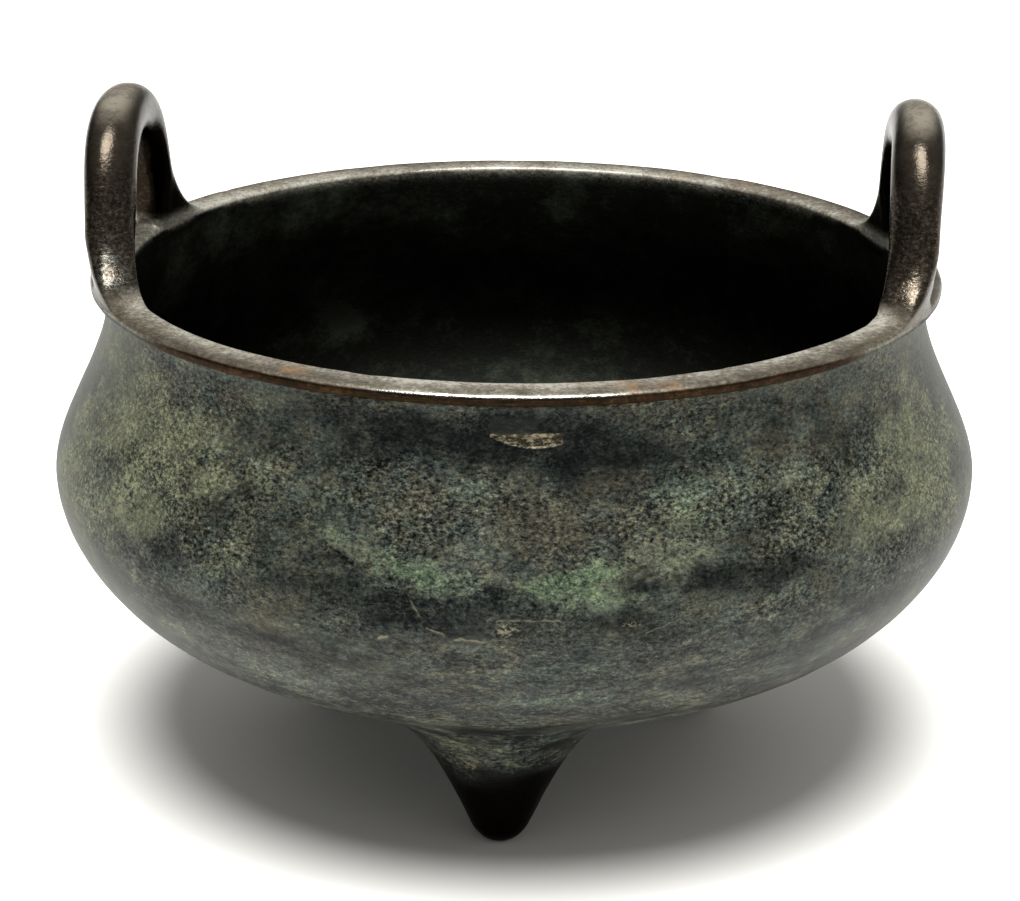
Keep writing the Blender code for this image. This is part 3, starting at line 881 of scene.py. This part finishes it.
bronze = {
    # noises of equal strength at every size, from clouds down to single grains:
    # size in millimetres, detail, stretch, roughness, shift
    "noises": {
        "cloud": (11.0, 6.0, (1, 1, 1.4), 0.93, 0.57), "streak": (6.0, 5.0, (0.8, 0.8, 2.2), 0.93, 0.83),
        "hue": (5.0, 5.0, (1, 1, 1.3), 0.95, 0.31), "fleck": (0.42, 2.0, (1, 1, 1.5), 0.9, 0.23),
        "soft": (2.6, 4.0, (1, 1, 1.5), 0.65, 0.17), "lines": (3.2, 3.0, (1, 1, 1.5), 0.6, 0.71),
        "spread": (8.0, 3.0, (1, 1, 1.6), 0.6, 0.47), "crease": (3.4, 4.0, (0.8, 0.8, 3.2), 0.7, 0.41),
    },
    # the patina from its darkest grains to its lightest
    "patina": [(0.0, (0.0014, 0.0017, 0.0015, 1)), (0.2, (0.0066, 0.0078, 0.007, 1)),
               (0.4, (0.0205, 0.0234, 0.0188, 1)), (0.55, (0.039, 0.043, 0.032, 1)),
               (0.75, (0.08, 0.0865, 0.06, 1)), (1.0, (0.175, 0.186, 0.122, 1))],
    # each kind of patch: how much lighter or darker, the tint that it gives, how broken its edge is
    "kinds": {"pale": (0.25, (1.02, 1.0, 0.86, 1), 1.0), "green": (0.22, (0.8, 1.06, 0.86, 1), 1.4),
              "teal": (0.13, (0.84, 1.04, 1.02, 1), 1.2), "brown": (-0.03, (1.16, 0.98, 0.82, 1), 0.5),
              "blue": (-0.13, (0.92, 0.98, 1.14, 1), 0.5), "dark": (-0.21, (0.95, 1.0, 1.06, 1), 0.5)},
    "kindFade": (0.06, 0.9),
    "warm": (1.15, 1.0, 0.88, 1), "cool": (0.86, 1.0, 1.08, 1),
    "contrast": 1.35, "lowerContrast": 1.9, "grit": 1.6,
    # below the widest ring the casting is smoother: what it loses of its grit, tone, pits and metal
    "smoother": {"grit": 0.25, "tone": 0.04, "pits": 0.7, "metal": 0.3},
    "base": 0.475, "loopSpeckle": 2.4,
    # thin cracks along the contours of one noise: level, half width and core, the noise that
    # breaks them up and its limits, strength, shade
    "cracks": [(0.47, (0.014, 0.003), "cloud", (0.47, 0.52), 0.75, "black"),
               (0.55, (0.01, 0.002), "soft", (0.45, 0.6), 0.45, "light")],
    "black": (0.0012, 0.0013, 0.0012, 1), "chalk": (0.15, 0.135, 0.09, 1),
    "light": (0.095, 0.1, 0.068, 1), "loopLight": (0.088, 0.09, 0.078, 1),
    "worn": [(0.0, (0.04, 0.032, 0.021, 1)), (0.35, (0.088, 0.077, 0.056, 1)),
             (0.65, (0.17, 0.156, 0.122, 1)), (1.0, (0.36, 0.345, 0.29, 1))],
    # the front arris band: rubbed metal, made bright as a painted highlight
    "shine": (0.55, 0.53, 0.47, 1),
    "loop": [(0.0, (0.012, 0.0086, 0.0058, 1)), (0.4, (0.032, 0.0255, 0.018, 1)),
             (0.7, (0.056, 0.046, 0.034, 1)), (1.0, (0.12, 0.106, 0.08, 1))],
    # crown: the lighter top of the handles, partly painted light from above
    "crown": (0.175, 0.155, 0.118, 1), "rust": (0.23, 0.125, 0.058, 1),
    "seam": (0.085, 0.034, 0.01, 1), "tip": (0.005, 0.0032, 0.0018, 1),
    "side": [(0.0, (0.003, 0.0014, 0.0005, 1)), (0.5, (0.019, 0.0085, 0.0024, 1)),
             (1.0, (0.066, 0.036, 0.014, 1))],
    "lining": [(0.0, (0.0003, 0.0004, 0.0002, 1)), (0.45, (0.0036, 0.0045, 0.0024, 1)),
               (0.75, (0.015, 0.018, 0.0112, 1)), (1.0, (0.04, 0.045, 0.032, 1))],
    "scar": (0.19, 0.168, 0.112, 1), "scarLow": (0.024, 0.02, 0.013, 1),
    "scarDull": (0.016, 0.018, 0.016, 1),
    "sideCover": 0.95, "tipCover": 0.95, "dullCover": 0.6,
    # edges: how much the noises stir a mask or a value, the limits that it fades between, and
    # for some what it is at each of them
    "edges": {
        "painted": ({}, 0.0, 0.2), "broken": ({"soft": 1.2, "fleck": 0.8}, 0.25, 0.75),
        "brokenChalk": ({"soft": 1.2, "fleck": 0.8}, 0.3, 0.7), "chalkGrain": ({}, 0.4, 0.6),
        "smooth": ({"soft": 0.01}, 0.0565, 0.051), "gritty": ({}, 0.4, 0.6, 0.65, 1.22),
        "tint": ({}, 0.4, 0.6), "scar": ({}, -0.16, 0.1), "tipDark": ({}, 0.05, 0.75, 0, 0.44),
        "crease": ({}, 0.03, 0.004, 0, 0.12), "creaseHeight": ({}, 0.046, 0.03),
        "pits": ({"soft": 0.6}, 0.32, 0.24, 0, 0.7),
        "worn": ({"soft": 0.25}, 0.3, 0.8), "shine": ({"soft": 0.4}, 0.3, 0.8),
        "rust": ({"hue": 1.6, "fleck": 0.6}, 0.15, 0.75), "rustCloud": ({}, 0.42, 0.56, 0.25, 0.95),
        "paleSpeck": ({"soft": 0.6}, 0.36, 0.66, 0, 0.6), "crownHue": ({}, 0.38, 0.52, 0.5, 1.0),
        "side": ({"soft": 0.3}, 0.25, 0.7), "seamLine": ({"soft": 0.7}, 0.35, 0.85, 0, 0.75),
        "inner": ({}, 0.1, 0.9), "tip": ({"soft": 0.5, "fleck": 0.3}, 0.5, 1.1),
        "rough": ({}, 0.1, 0.9, 0.38, 0.56), "metal": ({}, 0.15, 0.75, 0.88, 0.3),
        "tipMetal": ({}, 0.1, 0.9),
    },
    # tones: a middle value, how much the noises move it, how much the masks move it
    "tones": {
        "quiet": (1.0, {}, {"dark": -0.45, "brown": -0.5}),
        "scar": (0.0, {"fleck": 0.8, "streak": 1.8}, {}),
        "worn": (0.4, {"cloud": 2.1, "fleck": 1.1}, {"edge": 0.36, "arris": -0.26}),
        # the handles' tone: the hollow mask paints shade on their inward and downward faces
        "loop": (0.43, {"hue": 1.2, "fleck": 0.2}, {"hollow": -0.5, "dark": -0.2}),
        "side": (0.48, {"hue": 2.0, "fleck": 0.8}, {}),
        "lining": (0.42, {"hue": 1.5, "cloud": 1.1}, {"dust": 0.9}),
        "loopRough": (0.22, {"hue": 0.3}, {}), "loopMetal": (0.85, {}, {"crown": -0.65}),
    },
    "rimRough": 0.38, "liningRough": 0.6, "polishHighlightRough": 0.2,
    "rimMetal": 0.3, "liningMetal": 0.75, "sideMetal": 0.9,
    "bumpStrength": 0.5, "bumpDistance": 0.00012, "softHeight": 1.3,
    "specular": 0.5, "edgeTint": (0.62, 0.62, 0.62, 1),
}
# strokes: points as azimuth and height, width in millimetres, shade, strength
strokes = [
    ([(-8.5, 60.6), (-8.2, 59.2), (-6.9, 57)], 0.26, "chalk", 0.6),
    ([(-6.4, 55.4), (-3.9, 54.1), (-0.2, 53.6)], 0.3, "chalk", 0.75),
    ([(-0.2, 53.6), (1.6, 54), (3.6, 55.6)], 0.18, "chalk", 0.55),
    ([(1.2, 57.2), (3.9, 57.4), (8.6, 57.2)], 0.2, "chalk", 0.5),
    ([(-34.5, 63), (-31.2, 65.9), (-27.5, 67.7)], 0.18, "chalk", 0.45),
    ([(-35, 62.2), (-32.4, 64), (-29, 65.8)], 0.28, "black", 0.6),
    ([(-19.3, 66.7), (-17.4, 65.6), (-15.1, 64.1)], 0.4, "black", 0.9),
    ([(-19.6, 73.5), (-19.2, 67.5)], 0.2, "black", 0.6),
    ([(34.6, 76.5), (33.9, 71.8)], 0.2, "black", 0.5),
    ([(17.8, 54.4), (22.8, 56.6)], 0.2, "chalk", 0.35),
    ([(28.8, 44.6), (29.7, 44.7)], 0.3, "chalk", 0.9),
    ([(-22, 53.2), (-21.4, 53.3)], 0.25, "chalk", 0.8),
    ([(-11.8, 53), (-10.8, 53.6)], 0.3, "chalk", 0.9),
    ([(31, 75), (37, 77.5)], 0.18, "chalk", 0.3),
]
# how a stroke is drawn: metres for a width of 1, its outer and inner edge, and how it wobbles
pen = {"width": 0.0014, "edges": (0.8, 0.2), "wobbleScale": 700.0, "wobbleDetail": 2.0, "wobble": 0.001}
# how sharply the filed place ends, and the dull band over it, in metres and shares of its half width
filed = {"edge": (-0.00004, 0.0001), "end": (1.0, 0.97),
         "dullTop": (0.0028, 0.0018), "dullFoot": (0.0, 0.0002), "dullEnd": (0.72, 0.6), "dullShift": 0.34}


def drawStrokes(f, colour, fleck):
    shell = shellOutline(bowl["shoulderPoints"], bowl["undersidePoints"])
    wobble = f.node("TexNoise", None, {"Vector": f.place, "Scale": pen["wobbleScale"],
                                       "Detail": pen["wobbleDetail"]}, "Color")
    wobble = f.scaled(f.vector("SUBTRACT", wobble, (0.5, 0.5, 0.5)), pen["wobble"])
    shaken = f.vector("ADD", f.place, wobble)
    for marks, breadth, shade, strength in strokes:
        points = [atAzimuth(azimuth, radiusAt(height, shell), height) for azimuth, height in marks]
        nearest = None
        for start, end in zip(points, points[1:]):
            away = f.segment(start, end, shaken)
            nearest = away if nearest is None else f.maths("MINIMUM", nearest, away)
        width = breadth * pen["width"]
        outer, core = (width * edge for edge in pen["edges"])
        share = f.ramp(nearest + (fleck - 0.5) * width, outer, core)
        colour = f.blend(share * strength, colour, bronze[shade])
    return colour


def scarWires(f):
    # the filed place and the dull band over it, drawn on the finish as finely as they are seen
    scar, top = relief["scar"], relief["scar"]["top"] / 1000
    x, y, z = (f.axis(name) for name in "XYZ")
    azimuth = f.maths("ARCTAN2", x, y * -1) * (180 / math.pi)
    middle, half = (scar["from"] + scar["to"]) / 2, (scar["to"] - scar["from"]) / 2
    across = (azimuth - middle) * (1 / half)
    offset = across - scar["lowest"]
    depth = top - scar["bottom"] / 1000
    lower = top - (1 - offset * offset * scar["bow"]) * depth
    share = f.ramp(z - lower, *filed["edge"]) * f.ramp(top - z, *filed["edge"])
    share = share * f.ramp(f.absolute(across), *filed["end"])
    dull = f.ramp(z - top, *filed["dullTop"]) * f.ramp(z - top, *filed["dullFoot"])
    dull = dull * f.ramp(f.absolute(across + filed["dullShift"]), *filed["dullEnd"])
    fromAxis = f.vector("LENGTH", f.vector("MULTIPLY", f.place, (1, 1, 0)), output="Value")
    outside = f.maths("GREATER_THAN", fromAxis, relief["neckClear"])
    return share * outside, dull * outside


def makeBronze():
    f, b = Finish("bronze"), bronze
    smoother = b["smoother"]
    noises = {name: f.grain(*values) for name, values in b["noises"].items()}
    cloud, streak, hue, fleck = (noises[name] for name in ("cloud", "streak", "hue", "fleck"))

    def stirred(value, amounts):
        for name, amount in amounts.items():
            value = value + (noises[name] - 0.5) * amount
        return value

    def edge(name, value=None):
        # a mask of this name, or another value, stirred by the noises and faded in
        amounts, *limits = b["edges"][name]
        return f.ramp(stirred(f.mask(name) if value is None else value, amounts), *limits)

    def toned(name):
        value, amounts, masks = b["tones"][name]
        value = stirred(value, amounts)
        for mask, amount in masks.items():
            value = value + f.mask(mask) * amount
        return value

    def broken(name, edgeName):
        # the painted mask with its edge eaten by the mottling
        return edge(edgeName, f.mask(name)) * edge("painted", f.mask(name))

    # the patina of the walls: mottled above, brushed along its turning below the widest ring
    height = f.axis("Z")
    smooth = edge("smooth", height)
    grain = (cloud - 0.5) * (1 - smooth) * b["contrast"] + (streak - 0.5) * smooth * b["lowerContrast"]
    gritty = edge("gritty", noises["spread"]) * (1 - smooth * smoother["grit"])
    grain = grain + (fleck - 0.5) * gritty * b["grit"]
    tone = grain * toned("quiet") + b["base"] - smooth * smoother["tone"]
    tint = f.blend(edge("tint", hue), b["warm"], b["cool"])
    for name, (shift, shade, breaking) in b["kinds"].items():
        share = f.ramp(stirred(f.mask(name), {"soft": breaking}), *b["kindFade"])
        tone = tone + share * shift
        tint = f.blend(share, tint, shade)
    crease = edge("crease", f.absolute(noises["crease"] - 0.5)) * edge("creaseHeight", height)
    tone = tone - crease - edge("tipDark", f.mask("tip"))
    colour = f.blend(1.0, f.shades(tone, b["patina"]), tint, "MULTIPLY")
    for level, widths, through, limits, strength, shade in b["cracks"]:
        line = f.ramp(f.absolute(noises["lines"] - level), *widths) * f.mask("crackle")
        colour = f.blend(line * f.ramp(noises[through], *limits) * strength, colour, b[shade])
    colour = f.blend(edge("pits", fleck) * (1 - smooth * smoother["pits"]), colour, b["black"])
    colour = f.blend(broken("chalk", "brokenChalk") * edge("chalkGrain", fleck), colour, b["chalk"])
    colour = drawStrokes(f, colour, fleck)
    scar, dull = scarWires(f)
    colour = f.blend(dull * b["dullCover"], colour, b["scarDull"])
    colour = f.blend(scar, colour, f.blend(edge("scar", toned("scar")), b["scarLow"], b["scar"]))

    # the lip, rubbed to the metal, and on its front arris a bright polished band that is partly a painted
    # highlight
    worn, shine, loop = edge("worn"), edge("shine"), f.mask("loop")
    wornColour = f.shades(toned("worn"), b["worn"])
    wornColour = f.blend(edge("rust") * edge("rustCloud", cloud), wornColour, b["rust"])
    wornColour = f.blend(shine, wornColour, b["shine"])

    # the handles, rubbed dark, with painted shade in their hollows and a lighter crown that is partly
    # painted light from above
    loopTone = toned("loop") + (fleck - 0.5) * f.mask("speckle") * b["loopSpeckle"]
    loopColour = f.shades(loopTone, b["loop"])
    paleSpeck = broken("pale", "broken") * edge("paleSpeck", fleck)
    loopColour = f.blend(paleSpeck, loopColour, b["loopLight"])
    loopColour = f.blend(f.mask("crown") * edge("crownHue", hue), loopColour, b["crown"])
    colour = f.blend(worn, colour, f.blend(loop, wornColour, loopColour))

    # the lip's side, the lining and the tips of the feet
    side, inner, tip = edge("side"), edge("inner"), edge("tip")
    colour = f.blend(side * b["sideCover"], colour, f.shades(toned("side"), b["side"]))
    colour = f.blend(edge("seamLine"), colour, b["seam"])
    colour = f.blend(inner, colour, f.shades(toned("lining"), b["lining"]))
    colour = f.blend(tip * b["tipCover"], colour, b["tip"])

    rough = f.between(worn, edge("rough", tone), f.between(loop, b["rimRough"], toned("loopRough")))
    rough = f.between(shine, f.between(inner, rough, b["liningRough"]), b["polishHighlightRough"])
    metal = edge("metal", tone) * (1 - smooth * smoother["metal"])
    metal = f.between(worn, metal, f.between(loop, b["rimMetal"], toned("loopMetal")))
    # the painted shade in the handles' hollows is made fully metal as well, so it stays dark
    metal = f.most(metal, tip, inner * b["liningMetal"], side * b["sideMetal"],
                   f.mask("hollow") * loop, shine, edge("tipMetal", f.mask("tip")))
    grainHeight = fleck + noises["soft"] * b["softHeight"]
    bump = f.node("Bump", None, {"Strength": b["bumpStrength"], "Distance": b["bumpDistance"],
                                 "Height": grainHeight})
    for name, value in {"Base Color": colour, "Roughness": rough, "Metallic": metal, "Normal": bump,
                        "Specular IOR Level": b["specular"], "Specular Tint": b["edgeTint"]}.items():
        f.feed(f.shader.inputs[name], value)
    return f.material


censer.data.materials.clear()
censer.data.materials.append(makeBronze())
print("bronze finished:", len(censer.data.materials[0].node_tree.nodes), "nodes")

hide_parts("tripod_censer")
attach(censer, "root")


# Table, light and camera
studio = {
    "tableSize": 40.0, "tableColour": (0.84, 0.83, 0.8, 1), "tableRoughness": 0.75,
    # a broad softbox overhead, a little to the front, and a weak sky
    "sunPlace": (0, -0.4, 1.1), "sunStrength": 6.6,
    "sunAngle": math.radians(34), "sunLean": math.radians(19),
    "skyColour": (1, 0.99, 0.97, 1), "skyHigh": 0.55, "skyFrom": 0.2, "skyTo": 0.9,
    "rightGlow": 0.38, "glowLow": 0.5, "glowHigh": 1.0,
    "cameraPlace": (0.0261, -0.4981, 0.2331),
    "cameraAim": (-0.05079, 0.94118, -0.33406),
    "cameraRoll": math.radians(0.415),
    "lens": 105.88, "sensor": 36, "clipStart": 0.01,
}


def makeTable():
    clearSelection()
    bpy.ops.mesh.primitive_plane_add(size=studio["tableSize"])
    table = bpy.context.object
    table.name = "table"
    paint = Finish("pale table")
    paint.feed(paint.shader.inputs["Base Color"], studio["tableColour"])
    paint.feed(paint.shader.inputs["Roughness"], studio["tableRoughness"])
    table.data.materials.append(paint.material)


def makeLights():
    bpy.ops.object.light_add(type="SUN", location=studio["sunPlace"],
                             rotation=(studio["sunLean"], 0, 0))
    sun = bpy.context.object
    sun.data.energy = studio["sunStrength"]
    sun.data.angle = studio["sunAngle"]
    world = bpy.data.worlds.new("studio")
    world.use_nodes = True
    bpy.context.scene.world = world
    sky = Sky(world)
    across, rise = sky.axis("X"), sky.axis("Z")
    overhead = sky.ramp(rise, studio["skyFrom"], studio["skyTo"], 0, studio["skyHigh"])
    glow = (across * 0.5 + 0.5) * studio["rightGlow"]
    glow = glow * sky.ramp(rise, studio["glowHigh"], studio["glowLow"])
    background = world.node_tree.nodes["Background"]
    sky.feed(background.inputs["Color"], studio["skyColour"])
    sky.feed(background.inputs["Strength"], overhead + glow)


def makeCamera():
    bpy.ops.object.camera_add()
    camera = bpy.context.object
    turned = Vector(studio["cameraAim"]).to_track_quat("-Z", "Y").to_matrix().to_4x4()
    roll = Matrix.Rotation(studio["cameraRoll"], 4, "Z")
    camera.matrix_world = Matrix.Translation(studio["cameraPlace"]) @ turned @ roll
    camera.data.lens = studio["lens"]
    camera.data.sensor_width = studio["sensor"]
    camera.data.clip_start = studio["clipStart"]
    bpy.context.scene.camera = camera


makeTable()
makeLights()
makeCamera()
bpy.context.scene.view_settings.view_transform = "Standard"
print("table, light and camera set")

print("triangles:", sum(len(face.vertices) - 2 for face in censer.data.polygons))
